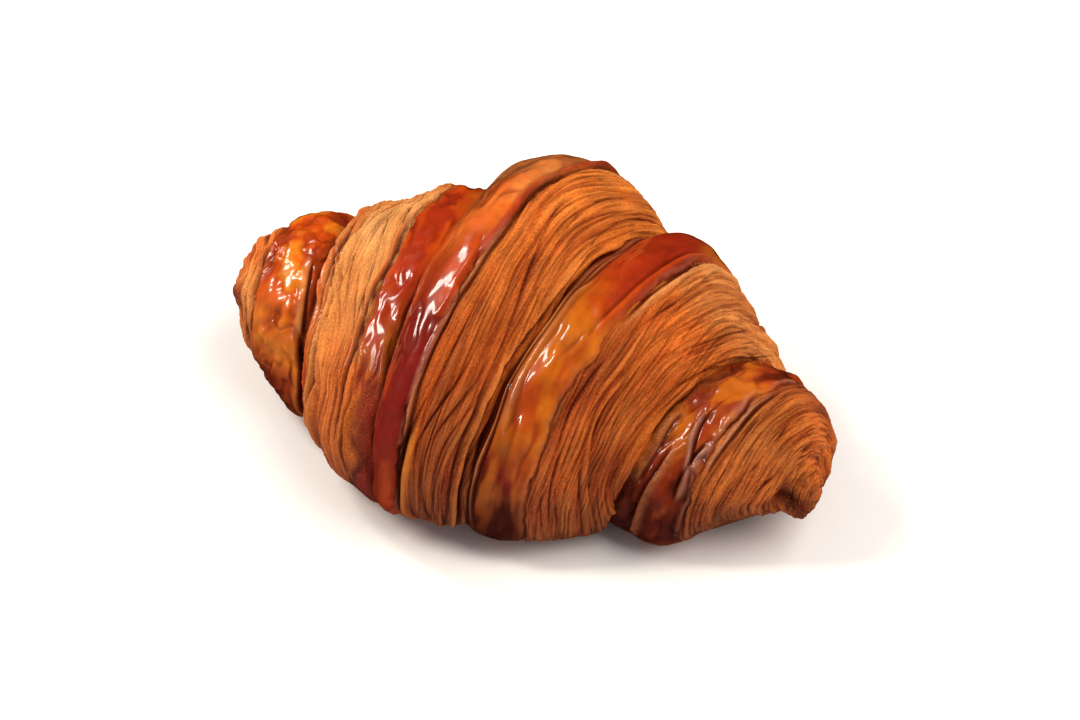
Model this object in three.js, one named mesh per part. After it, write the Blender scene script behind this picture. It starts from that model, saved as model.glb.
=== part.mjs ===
// Butter croissant, baked, as one closed solid.
// Millimetres, +Z up. +X runs along the length towards the tip whose roll end shows, +Y is the
// side the tips bow away from, and the origin is under the middle of the flat base.
//
// The dough is a triangle rolled from its broad edge, so the body reads as seven bands wound
// round a gently bowed spine. Each band is a glossy outer skin that rises out of a groove, turns
// over an edge and becomes the cut, laminated face that overhangs the next groove.
import * as THREE from 'three';

// ---- driving dimensions, mm ------------------------------------------------------------
const BOW = 5;               // how far each tip bends off the straight line of the body
const HALF_SPAN = 70;        // distance from the middle at which the bow is measured
const CORE_SHARE = 0.36;     // height of the widest point of a section, share of its height
const FLANK_POWER = 3;       // squareness of the lower half, sagged onto the baking tray
const ROUND_LIFT = 8;        // lift at which a section hangs free and is a plain oval again
const FOOT_TURN = 40;        // degrees either side of straight down where the winding runs flat
const ROUND_STEPS = 50;      // facets round the body
const ROWS_PER_STATION = 2;  // facets from one station to the next

// ---- stations along the spine, mm --------------------------------------------------------
// along: place on the spine; half: half width; top: height; lift: height of the underside
// (below zero the belly is pressed flat on the tray); lean: how far the band climbs along the
// spine in one full turn; side: shift across the body; tuck: reach over the groove beside it.
const STATIONS = [
  // left tip, a small nub where the roll ends
  { along: -71.0, half: 0, top: 16.0, lift: 15.5, lean: 0, side: 0.5, tuck: 0 },
  { along: -70.5, half: 3.0, top: 20.5, lift: 12.5, lean: 0, side: 0.5, tuck: 0 },
  { along: -68.0, half: 6.0, top: 25.0, lift: 9.0, lean: -2, side: 0.5, tuck: 0 },
  { along: -65.5, half: 12.0, top: 30.0, lift: 5.0, lean: -6, side: 0, tuck: 0 },
  // outer left band: cut face, edge, skin down into its groove
  { along: -61.0, half: 17.5, top: 34.0, lift: 2.5, lean: -10, side: 0, tuck: 0 },
  { along: -56.0, half: 22.0, top: 37.5, lift: 0, lean: -12, side: 0, tuck: 0 },
  { along: -50.0, half: 25.0, top: 38.5, lift: -1.5, lean: -12, side: 0, tuck: 0 },
  { along: -45.5, half: 24.5, top: 36.5, lift: 0, lean: -12, side: 0, tuck: 0 },
  // inner left band: stacked lip, cut face, edge, skin
  { along: -44.2, half: 25.0, top: 36.5, lift: 0, lean: -12, side: 0, tuck: 1.2 },
  { along: -43.4, half: 27.5, top: 39.5, lift: -1.5, lean: -12, side: 0, tuck: -0.6 },
  { along: -38.5, half: 33.5, top: 42.5, lift: -1.5, lean: -14, side: -0.5, tuck: 0 },
  { along: -33.0, half: 38.5, top: 45.0, lift: -1.5, lean: -16, side: -1, tuck: 0 },
  { along: -27.0, half: 42.0, top: 47.5, lift: -1.5, lean: -20, side: -1, tuck: 0 },
  { along: -21.0, half: 44.5, top: 48.0, lift: -1.5, lean: -16, side: -1, tuck: 0 },
  { along: -15.8, half: 44.0, top: 47.0, lift: -1.5, lean: -13, side: -0.5, tuck: 0 },
  // middle ridge: the last turn, a rolled shoulder with a wide cut face to its right
  { along: -14.8, half: 44.0, top: 48.5, lift: -1.5, lean: -11, side: 0, tuck: 0.8 },
  { along: -14.0, half: 46.0, top: 52.0, lift: -1.5, lean: -9, side: 0, tuck: -0.5 },
  { along: -11.0, half: 47.5, top: 58.5, lift: -1.5, lean: -2, side: 0, tuck: 0 },
  { along: -5.5, half: 48.5, top: 64.0, lift: -1.5, lean: 10, side: 0, tuck: 0 },
  { along: 0.5, half: 48.5, top: 64.5, lift: -1.5, lean: 23, side: 0, tuck: 0 },
  { along: 5.0, half: 47.5, top: 61.5, lift: -1.5, lean: 23, side: 0, tuck: 0 },
  { along: 10.0, half: 46.0, top: 56.5, lift: -1.5, lean: 20, side: 0, tuck: 0 },
  { along: 13.3, half: 43.0, top: 50.5, lift: -1.5, lean: 18, side: 0, tuck: 0.7 },
  { along: 14.2, half: 41.5, top: 49.0, lift: -1.5, lean: 18, side: 0, tuck: -1.2 },
  // inner right band: skin out of the groove, edge, broad cut face, lip
  { along: 16.5, half: 42.5, top: 50.0, lift: -1.5, lean: 18, side: 0, tuck: 0 },
  { along: 23.5, half: 43.0, top: 52.0, lift: -1.5, lean: 18, side: 0, tuck: 0 },
  { along: 30.0, half: 40.5, top: 49.5, lift: -1.5, lean: 20, side: 0, tuck: 0 },
  { along: 36.0, half: 37.0, top: 45.5, lift: -1.5, lean: 22, side: 0, tuck: 0 },
  { along: 41.5, half: 32.5, top: 41.0, lift: -1.5, lean: 26, side: 0, tuck: 0 },
  { along: 45.8, half: 28.0, top: 36.0, lift: -1.5, lean: 30, side: 0, tuck: 0.7 },
  { along: 46.6, half: 25.5, top: 34.5, lift: 0.5, lean: 30, side: 0, tuck: -0.6 },
  // outer right band: skin, edge, cut face closing round the tip
  { along: 48.8, half: 25.0, top: 35.5, lift: 0, lean: 28, side: 0, tuck: 0 },
  { along: 54.5, half: 25.0, top: 37.0, lift: -1.5, lean: 20, side: 0, tuck: 0 },
  { along: 60.5, half: 22.0, top: 36.0, lift: 1.0, lean: 18, side: 0, tuck: 0 },
  { along: 66.0, half: 18.0, top: 33.0, lift: 5.5, lean: 14, side: 0, tuck: 0 },
  { along: 71.0, half: 12.5, top: 28.5, lift: 10.0, lean: 8, side: 0, tuck: 0 },
  // right tip, the rolled end that hangs clear of the tray
  { along: 73.0, half: 6.5, top: 23.0, lift: 11.5, lean: 2, side: -1, tuck: 0 },
  { along: 76.5, half: 4.5, top: 20.5, lift: 12.0, lean: 0, side: -2, tuck: 0 },
  { along: 77.0, half: 0, top: 16.5, lift: 16.0, lean: 0, side: -2, tuck: 0 },
];

/** One dimension of the stations, read smoothly at any place between them. */
function measure(key, row) {
  const last = STATIONS.length - 1;
  const i = Math.min(Math.floor(row), last - 1);
  const t = row - i;
  const at = (k) => STATIONS[THREE.MathUtils.clamp(i + k, 0, last)][key];
  const [a, b, c, d] = [at(-1), at(0), at(1), at(2)];
  return b + 0.5 * t * (c - a + t * (2 * a - 5 * b + 4 * c - d + t * (3 * (b - c) + d - a)));
}

/** Share of a full turn the winding has made at an angle from the bottom, -180 to 180 degrees. */
function winding(angle) {
  const foot = 180 - FOOT_TURN;
  const over = Math.abs(angle) - foot;
  if (over <= 0) return angle / 360;
  const ease = Math.cos((over / FOOT_TURN) * Math.PI / 2);
  return Math.sign(angle) * (foot / 360) * ease;
}

/** A point of the crust; row counts stations, angle is 0 at the top and -90 at the front. */
function crust(row, angle) {
  const a = THREE.MathUtils.degToRad(angle);
  const across = Math.sin(a);
  const up = Math.cos(a);
  const lift = measure('lift', row);
  const top = measure('top', row);
  const free = THREE.MathUtils.clamp(lift / ROUND_LIFT, 0, 1);
  const core = lift + (CORE_SHARE + free * (0.5 - CORE_SHARE)) * (top - lift);

  // the upper half is a plain oval, the lower half squarer where it sagged on the tray
  const power = up < 0 ? 2 / (FLANK_POWER - free) : 1;
  const wide = Math.sign(across) * Math.abs(across) ** power;
  const high = Math.sign(up) * Math.abs(up) ** power;
  const z = core + (up < 0 ? core - lift : top - core) * high;

  // a lip overhangs its groove on top and on the flanks, and closes flat before the base
  const open = THREE.MathUtils.smoothstep(up, -0.7, -0.2);
  const s = measure('along', row) + measure('lean', row) * winding(angle)
    + measure('tuck', row) * open;
  const bend = Math.atan((-2 * BOW * s) / HALF_SPAN ** 2);
  const offset = measure('side', row) + Math.max(measure('half', row), 0) * wide;
  return new THREE.Vector3(
    s - offset * Math.sin(bend),
    -BOW * (s / HALF_SPAN) ** 2 + offset * Math.cos(bend),
    Math.max(z, 0),
  );
}

/** Closed surface of the whole loaf: rings of crust between one point at each tip. */
function loaf() {
  const rows = (STATIONS.length - 1) * ROWS_PER_STATION;
  const points = [crust(0, 0)];
  for (let r = 1; r < rows; r += 1) {
    for (let k = 0; k < ROUND_STEPS; k += 1) {
      points.push(crust(r / ROWS_PER_STATION, -180 + (360 * k) / ROUND_STEPS));
    }
  }
  points.push(crust(STATIONS.length - 1, 0));

  const faces = [];
  const ring = (r, k) => 1 + (r - 1) * ROUND_STEPS + (k % ROUND_STEPS);
  const end = points.length - 1;
  for (let k = 0; k < ROUND_STEPS; k += 1) {
    faces.push(0, ring(1, k), ring(1, k + 1));
    faces.push(end, ring(rows - 1, k + 1), ring(rows - 1, k));
    for (let r = 1; r < rows - 1; r += 1) {
      const [a, b, c, d] = [ring(r, k), ring(r + 1, k), ring(r + 1, k + 1), ring(r, k + 1)];
      faces.push(a, b, c, a, c, d);
    }
  }
  const geometry = new THREE.BufferGeometry().setFromPoints(points);
  geometry.setIndex(faces);
  geometry.computeBoundingBox();
  const middle = geometry.boundingBox.getCenter(new THREE.Vector3());
  geometry.translate(-middle.x, -middle.y, -geometry.boundingBox.min.z);
  geometry.computeVertexNormals();
  return geometry;
}

const crustColour = new THREE.MeshStandardMaterial({
  name: 'crust', color: 0xb8622a, roughness: 0.45, metalness: 0,
});
const body = new THREE.Mesh(loaf(), crustColour);
body.name = 'croissant';

const croissant = new THREE.Group();
croissant.name = 'croissant_part';
croissant.add(body);

export default croissant;
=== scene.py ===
"""A baked butter croissant: one crust with glossy skins, cut laminated faces and rolled tips."""
import itertools
import logging
import math
from dataclasses import dataclass, field
from enum import Enum
from typing import NamedTuple, Protocol

import bpy
import numpy as np
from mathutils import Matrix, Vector


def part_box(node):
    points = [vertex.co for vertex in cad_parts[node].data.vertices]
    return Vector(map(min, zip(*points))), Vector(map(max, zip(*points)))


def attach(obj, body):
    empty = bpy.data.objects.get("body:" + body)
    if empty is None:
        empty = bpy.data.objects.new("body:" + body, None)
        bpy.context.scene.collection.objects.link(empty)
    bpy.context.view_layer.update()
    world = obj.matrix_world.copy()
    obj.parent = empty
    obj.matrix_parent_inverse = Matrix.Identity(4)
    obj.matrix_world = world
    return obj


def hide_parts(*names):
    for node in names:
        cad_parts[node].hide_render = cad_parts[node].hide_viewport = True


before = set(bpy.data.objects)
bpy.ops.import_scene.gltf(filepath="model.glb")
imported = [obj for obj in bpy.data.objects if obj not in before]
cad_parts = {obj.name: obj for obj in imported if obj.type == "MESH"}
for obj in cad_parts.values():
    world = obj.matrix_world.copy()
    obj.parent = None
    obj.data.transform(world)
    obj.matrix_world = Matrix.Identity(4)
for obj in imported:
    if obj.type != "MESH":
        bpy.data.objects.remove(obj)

LOG = logging.getLogger("croissant")
MM = 0.001  # the loaf is worked out in millimetres and built in metres
NODE = "croissant"  # the solid that the fine crust stands for
SLOPES = 256  # random slopes that the noise is made from, a power of two
NOISE_GAIN = 1.6  # gradient noise seldom passes 0.6 either way, so this brings it to about 1
BLEND = {"data_type": "RGBA"}  # one colour over another
MULTIPLY = {"data_type": "RGBA", "blend_type": "MULTIPLY"}  # one colour times another
MIXED_COLOUR = 2  # where a mix of colours comes out of its node
Array = np.ndarray


def linear(hex_colour: str) -> tuple[float, float, float]:
    """Turns an sRGB hex colour into linear light.

    Args:
        hex_colour: six hex digits, such as "c0642a".

    Returns:
        Red, green and blue, each from 0 to 1.
    """
    shares = (int(hex_colour[i:i + 2], 16) / 255 for i in (0, 2, 4))
    return tuple(s / 12.92 if s <= 0.04045 else ((s + 0.055) / 1.055) ** 2.4 for s in shares)


def smooth(low: float, high: float, value: Array) -> Array:
    """Eases from 0 at low to 1 at high."""
    t = np.clip((value - low) / (high - low), 0, 1)
    return t * t * (3 - 2 * t)


def bell(distance: Array, width: float) -> Array:
    """A soft peak of height 1 that fades over width on either side."""
    return np.exp(-((distance / width) ** 2))


def hash_of(word: str) -> int:
    """A steady whole number for a word, to seed its own irregularity."""
    return sum((i + 1) * ord(c) for i, c in enumerate(word))


class Bake(Enum):
    """How far a spot of crust has browned, as the colour it shows in white light."""

    STRAW = "cf8d50"  # torn flakes that stayed dry
    HONEY = "d2803e"  # cut layers that faced up
    SUN = "d07a16"  # thick wash, still yellow
    FILM = "9c5a2e"  # a sheet so thin that it lets the dark through
    GOLD = "c7651a"
    AMBER = "b95f0c"  # pooled wash
    APRICOT = "cd611e"
    ORANGE = "bf4406"
    COPPER = "b65017"
    TAN = "96481b"
    RUST = "9c3606"
    CRIMSON = "98250a"  # skin that blistered close to the heat
    CLARET = "76160d"
    BRICK = "882c08"
    CHESTNUT = "681e05"
    UMBER = "461003"  # the darkest brown; in the mouth of the roll it is painted shade
    MEMBRANE = "a06a54"  # papery edges that lifted and dried


# A colour at each of a few angles round the body: -90 is the front, 0 the top, 90 the back.
Tones = tuple[tuple[float, Bake], ...]


@dataclass(frozen=True)
class Noise:
    """Smooth seeded lumps in space, so that the crust is never quite regular."""

    seed: int

    def at(self, points: Array, size: float) -> Array:
        """Reads the lumps at some places.

        Args:
            points: places in mm, the last axis x, y, z.
            size: width of a lump in mm.

        Returns:
            A number from about -1 to 1 for each place.
        """
        rng = np.random.default_rng(self.seed)
        table = np.tile(rng.permutation(SLOPES), 2)
        slopes = rng.normal(size=(SLOPES, 3))
        slopes /= np.linalg.norm(slopes, axis=1, keepdims=True)
        scaled = points / size
        cell = np.floor(scaled).astype(np.int64)
        inside = scaled - cell
        cell &= SLOPES - 1
        ease = inside ** 3 * (inside * (inside * 6 - 15) + 10)
        total = np.zeros(points.shape[:-1])
        for corner in itertools.product((0, 1), repeat=3):
            i, j, k = ((cell[..., a] + corner[a]) & (SLOPES - 1) for a in range(3))
            slope = slopes[table[table[table[i] + j] + k]]
            weight = np.ones_like(total)
            for a in range(3):
                weight *= ease[..., a] if corner[a] else 1 - ease[..., a]
            total += weight * np.einsum("...i,...i->...", slope, inside - corner)
        return total * NOISE_GAIN

    def rough(self, points: Array, size: float, octaves: int) -> Array:
        """Lumps with ever smaller lumps on them, each octave half the size of the last."""
        layers = (Noise(self.seed + i).at(points, size / 2 ** i) / 2 ** i for i in range(octaves))
        return sum(layers)


@dataclass(frozen=True)
class Waves:
    """Seeded ripples round the body that join up with themselves after a turn."""

    seed: int
    slowest: int  # ripples in one turn, at the least and at the most
    fastest: int

    def round(self, angle: Array, count: int) -> Array:
        """Makes several ripples.

        Args:
            angle: angles round the body in radians.
            count: how many different ripples to make.

        Returns:
            One row for each ripple, from about -1 to 1, over the angles.
        """
        rng = np.random.default_rng(self.seed)
        turns = np.arange(self.slowest, self.fastest + 1)
        size = rng.normal(size=(count, len(turns))) / np.sqrt(len(turns))
        phase = rng.uniform(0, 2 * math.pi, size=(count, len(turns)))
        waves = np.sin(turns[None, :, None] * angle[None, None, :] + phase[..., None])
        return np.einsum("ct,cta->ca", size, waves)


@dataclass(frozen=True)
class Station:
    """One ring of the loaf, in mm.

    along is its place on the spine, half its half width, top its height and lift the height of
    its underside, below zero where the belly is pressed flat. lean is how far the winding climbs
    in a turn, side a shift across the body, and tuck a reach over the groove beside it.
    """

    along: float
    half: float
    top: float
    lift: float
    lean: float
    side: float = 0.0
    tuck: float = 0.0


def rings() -> dict[str, Station]:
    """Lists the rings of the loaf in order from the left tip.

    l3 and l2 are the outer and inner band on the left, and r2 and r3 the inner and outer band on
    the right. Between them the ridge rises and falls away over the broad middle face.

    Returns:
        A ring for each name of what lies there.
    """
    return {
        "left_pole": Station(-71.0, 0.0, 16.0, 15.5, 0, 0.5),
        "left_nub": Station(-70.5, 3.0, 20.5, 12.5, 0, 0.5),
        "left_neck": Station(-68.0, 6.0, 25.0, 9.0, -2, 0.5),
        "left_dome": Station(-65.5, 12.0, 30.0, 5.0, -6),
        "l3_edge": Station(-61.0, 17.5, 34.0, 2.5, -10),
        "l3_crown": Station(-56.0, 22.0, 37.5, 0, -12),
        "l3_skin": Station(-50.0, 25.0, 38.5, -1.5, -12),
        "l3_root": Station(-45.5, 24.5, 36.5, 0, -12),
        "l2_under": Station(-44.2, 25.0, 36.5, 0, -12, 0, 1.2),
        "l2_lip": Station(-43.4, 27.5, 39.5, -1.5, -12, 0, -0.6),
        "l2_face": Station(-38.5, 33.5, 42.5, -1.5, -14, -0.5),
        "l2_crown": Station(-33.0, 38.5, 45.0, -1.5, -16, -1),
        "l2_edge": Station(-27.0, 42.0, 47.5, -1.5, -20, -1),
        "l2_skin": Station(-21.0, 44.5, 48.0, -1.5, -16, -1),
        "l2_root": Station(-15.8, 44.0, 47.0, -1.5, -13, -0.5),
        "ridge_under": Station(-14.8, 44.0, 48.5, -1.5, -11, 0, 0.8),
        "ridge_lip": Station(-14.0, 46.0, 52.0, -1.5, -9, 0, -0.5),
        "ridge_shoulder": Station(-11.0, 47.5, 58.5, -1.5, -2),
        "ridge_crest": Station(-5.5, 48.5, 64.0, -1.5, 10),
        "ridge_edge": Station(0.5, 48.5, 64.5, -1.5, 23),
        "mid_face": Station(5.0, 47.5, 61.5, -1.5, 23),
        "mid_slope": Station(10.0, 46.0, 56.5, -1.5, 20),
        "mid_lip": Station(13.3, 43.0, 50.5, -1.5, 18, 0, 0.7),
        "mid_under": Station(14.2, 41.5, 49.0, -1.5, 18, 0, -1.2),
        "r2_root": Station(16.5, 42.5, 50.0, -1.5, 18),
        "r2_skin": Station(23.5, 43.0, 52.0, -1.5, 18),
        "r2_edge": Station(30.0, 40.5, 49.5, -1.5, 20),
        "r2_face": Station(36.0, 37.0, 45.5, -1.5, 22),
        "r2_slope": Station(41.5, 32.5, 41.0, -1.5, 26),
        "r2_lip": Station(45.8, 28.0, 36.0, -1.5, 30, 0, 0.7),
        "r2_under": Station(46.6, 25.5, 34.5, 0.5, 30, 0, -0.6),
        "r3_root": Station(48.8, 25.0, 35.5, 0, 28),
        "r3_skin": Station(54.5, 25.0, 37.0, -1.5, 20),
        "r3_edge": Station(60.5, 22.0, 36.0, 1.0, 18),
        "r3_face": Station(66.0, 18.0, 33.0, 5.5, 14),
        "right_dome": Station(71.0, 12.5, 28.5, 10.0, 8),
        "right_neck": Station(73.0, 6.5, 23.0, 11.5, 2, -1),
        "right_nub": Station(76.5, 4.5, 20.5, 12.0, 0, -2),
        "right_pole": Station(77.0, 0.0, 16.5, 16.0, 0, -2),
    }


@dataclass
class Form:
    """The rolled body on a grid of rows along the spine and columns round it, before relief."""

    rows: int
    columns: int
    bow: float = 5.0  # how far each tip bends off the straight line of the body
    half_span: float = 70.0  # distance from the middle at which the bow is measured
    core_share: float = 0.36  # height of the widest point of a section, share of its height
    flank_power: float = 3.0  # squareness of the lower half, sagged onto the tray
    round_lift: float = 8.0  # lift at which a section hangs free and is a plain oval again
    foot_turn: float = 40.0  # degrees either side of straight down where the winding runs flat
    lip_closed: float = -0.7  # share of the way up, -1 to 1, below which a lip lies flat
    lip_open: float = -0.2  # share of the way up above which it overhangs in full
    wander: float = 0.9  # how far an edge strays from its even line
    wander_size: float = 22.0
    wander_seed: int = 3
    wander_half: float = 12.0  # half width from which it strays in full; the tips stay even
    wander_foot: tuple[float, float] = (-0.95, -0.5)  # shares of the way up where it starts
    ragged: float = 0.9  # how far the torn edge of a skin strays from its line
    ragged_size: float = 6.0
    ragged_reach: float = 6.0  # distance from the line within which it strays
    spaced_at: float = -45.0  # angle at which the rows lie evenly apart, the upper front
    probes: int = 40  # places tried between two stations to space them
    stations: dict[str, Station] = field(default_factory=rings)

    def __post_init__(self) -> None:
        """Lays the grid, with rows evenly spaced over the crust."""
        self.angle = np.linspace(-180, 180, self.columns + 1)[:-1]
        probe = np.linspace(0, len(self.stations) - 1, self.probes * len(self.stations))
        line = self.surface(probe, np.array([self.spaced_at]), False)[:, 0]
        walked = np.concatenate([[0], np.cumsum(np.linalg.norm(np.diff(line, axis=0), axis=1))])
        self.row = np.interp(np.linspace(0, walked[-1], self.rows), walked, probe)
        self.place = self.surface(self.row, self.angle, True)
        step = np.linalg.norm(np.diff(self.place, axis=0), axis=2)
        self.length = np.concatenate([np.zeros((1, self.columns)), np.cumsum(step, axis=0)])
        self.normal = self.facing(self.place)

    def measures(self, row: Array) -> dict[str, Array]:
        """Reads every measure of the rings smoothly between them.

        Args:
            row: places along the spine, counted in stations.

        Returns:
            A column of numbers for each measure, by its name.
        """
        names = Station.__dataclass_fields__
        table = np.array([[getattr(s, n) for n in names] for s in self.stations.values()])
        last = len(table) - 1
        first = np.clip(np.floor(row).astype(int), 0, last - 1)
        t = (row - first)[:, None]
        a, b, c, d = (table[np.clip(first + k, 0, last)] for k in (-1, 0, 1, 2))
        bent = 2 * a - 5 * b + 4 * c - d + t * (3 * (b - c) + d - a)
        read = b + 0.5 * t * (c - a + t * bent)
        return {name: read[:, i:i + 1] for i, name in enumerate(names)}

    def winding(self, angle: Array) -> Array:
        """Share of a full turn that the winding has made, closing up flat under the base.

        Args:
            angle: degrees round the body.

        Returns:
            A share from -0.5 to 0.5 for each angle.
        """
        foot = 180 - self.foot_turn
        over = np.clip((np.abs(angle) - foot) / self.foot_turn, 0, 1)
        turned = np.clip(angle, -foot, foot) / 360
        return turned * np.cos(over * math.pi / 2)

    def surface(self, row: Array, angle: Array, lively: bool) -> Array:
        """Places on the body.

        Args:
            row: places along the spine, counted in stations.
            angle: degrees round the body.
            lively: whether the edges stray as hand-rolled dough does.

        Returns:
            x, y, z in mm for each row and angle. The belly may still dip below the tray.
        """
        m = self.measures(row)
        radians = np.radians(angle)[None, :]
        across, up = np.sin(radians), np.cos(radians)
        lift, top = m["lift"], m["top"]
        free = np.clip(lift / self.round_lift, 0, 1)
        core = lift + (self.core_share + free * (0.5 - self.core_share)) * (top - lift)
        power = np.where(up < 0, 2 / (self.flank_power - free), 1)
        wide = np.sign(across) * np.abs(across) ** power
        high = np.sign(up) * np.abs(up) ** power
        z = core + np.where(up < 0, core - lift, top - core) * high
        s = m["along"] + m["lean"] * self.winding(angle)[None, :]
        s = s + m["tuck"] * smooth(self.lip_closed, self.lip_open, up)
        offset = m["side"] + np.maximum(m["half"], 0) * wide
        if lively:
            spot = np.stack([s, offset, z + 0 * s], -1)
            free_edge = smooth(0, self.wander_half, np.maximum(m["half"], 0))
            free_edge = free_edge * smooth(*self.wander_foot, up)
            stray = Noise(self.wander_seed).rough(spot, self.wander_size, 2)
            s = s + self.wander * free_edge * stray
        bend = np.arctan(-2 * self.bow * s / self.half_span ** 2)
        x = s - offset * np.sin(bend)
        y = -self.bow * (s / self.half_span) ** 2 + offset * np.cos(bend)
        return np.stack([x, y, z + 0 * x], -1)

    def girth(self, rows: slice) -> Array:
        """Measures how far some rows lie from their own middle.

        Args:
            rows: the rows of the grid.

        Returns:
            The mean distance in mm, one number for each row.
        """
        ring = self.place[rows]
        middle = ring.mean(axis=1, keepdims=True)
        return np.linalg.norm(ring - middle, axis=2).mean(axis=1, keepdims=True)

    @staticmethod
    def facing(place: Array) -> Array:
        """Finds which way a surface faces.

        Args:
            place: a grid of places that closes on itself round the body.

        Returns:
            The outward normal at each place.
        """
        along = np.gradient(place, axis=0)
        around = np.roll(place, -1, axis=1) - np.roll(place, 1, axis=1)
        normal = np.cross(along, around)
        size = np.linalg.norm(normal, axis=2, keepdims=True)
        return normal / np.maximum(size, 1e-9)

    def at(self, name: str) -> Array:
        """Finds how far along the crust a ring lies.

        Args:
            name: of the ring.

        Returns:
            The distance in mm from the left tip, at each angle.
        """
        station = list(self.stations).index(name)
        k = min(max(np.searchsorted(self.row, station), 1), self.rows - 1)
        before, after = self.row[k - 1], self.row[k]
        share = (station - before) / max(after - before, 1e-9)
        return self.length[k - 1] + np.clip(share, 0, 1) * (self.length[k] - self.length[k - 1])

    def past(self, name: str) -> Array:
        """Distance of every place beyond a named ring, in mm, negative before it."""
        return self.length - self.at(name)[None, :]

    def torn(self, name: str) -> Array:
        """Measures from a named ring as it was really torn, if it is the edge of a skin.

        Args:
            name: of the ring.

        Returns:
            Distance of every place beyond it, in mm, negative before it.
        """
        past = self.past(name)
        if not name.endswith("_edge"):
            return past
        near = np.flatnonzero((np.abs(past) < self.ragged_reach).any(axis=1))
        rows = slice(near[0], near[-1] + 1)
        stray = Noise(hash_of(name)).rough(self.place[rows], self.ragged_size, 3)
        past[rows] += self.ragged * stray
        return past

    def band(self, first: str, last: str) -> tuple[Array, Array, slice]:
        """Finds the band of crust between two rings.

        Args:
            first: ring on its left.
            last: ring on its right.

        Returns:
            Distance of every place beyond the first ring and beyond the last, in mm, and the
            rows of the grid that the band touches.
        """
        start, end = self.torn(first), self.torn(last)
        touched = np.flatnonzero(((start >= 0) & (end < 0)).any(axis=1))
        return start, end, slice(touched[0], touched[-1] + 1)


@dataclass
class Relief:
    """What is laid on the form: its height in mm and the measures that colour it."""

    form: Form
    blotch_turn: float = 14.0  # degrees that a blotch carries a colour round the body
    blotch_size: float = 11.0

    def __post_init__(self) -> None:
        """Starts flat, matt and without colour."""
        shape = self.form.length.shape
        self.height = np.zeros(shape)
        self.glaze = np.zeros(shape)  # how much egg wash lies on the crust
        self.crack = np.zeros(shape)  # depth in a crack, crease or groove, where painted shade goes
        self.crest = np.zeros(shape)  # nearness to the top of a layer, where a painted highlight goes
        self.colour = np.zeros(shape + (3,))

    def paint(self, inside: Array, tones: Tones, seed: int) -> None:
        """Colours an area with tones that change round the body.

        Args:
            inside: share of each place that takes the colour.
            tones: a colour at each of a few angles.
            seed: of the blotches that break the change up.
        """
        stray = self.blotch_turn * Noise(seed).rough(self.form.place, self.blotch_size, 3)
        angle = self.form.angle[None, :] + stray
        stops = [a for a, _ in tones]
        steps = np.array([linear(b.value) for _, b in tones])
        read = np.stack([np.interp(angle, stops, steps[:, c]) for c in range(3)], -1)
        self.colour += (read - self.colour) * inside[..., None]

    def stain(self, share: Array, bake: Bake, rows: slice = slice(None)) -> None:
        """Moves the colour of some rows towards one bake, by a share at each place."""
        step = np.array(linear(bake.value)) - self.colour[rows]
        self.colour[rows] += step * share[..., None]


class Layer(Protocol):
    """Anything that is laid on the form."""

    def apply(self, relief: Relief) -> None:
        """Adds itself to the relief."""


class Side(Enum):
    """One end of a band."""

    LEFT = 0
    RIGHT = 1


class Lay(NamedTuple):
    """One scale of the layers in a cut face, which shows them at three scales at once."""

    times: float  # strands for each layer
    scale: float  # height of a strand against the plain measure
    dark: float  # painted shade in its cracks
    gap: float  # width of its cracks against the plain measure
    tinge: float  # strength of its own light and dark


# broad folds of the roll, its layers, and the thin sheets that each layer flakes into
LAMINATION = (Lay(0.3, 1.4, 0.99, 1.44, 0.5), Lay(1, 0.9, 0.815, 1.14, 0.6),
              Lay(3.4, 0.5, 0.675, 0.9, 0.4))
BROWNING = (0.7, 1.2, 1.5)  # a darker layer keeps more of its red than of its green and blue


class Strands(NamedTuple):
    """Strands laid side by side, measured at each place."""

    height: Array  # mm
    crack: Array  # how deep in a crack or between strands, 0 to 1, painted as shade
    crest: Array  # how near a crest, 0 to 1, painted as a highlight
    pale: Array  # how pale the strand is, -1 to 1


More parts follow.
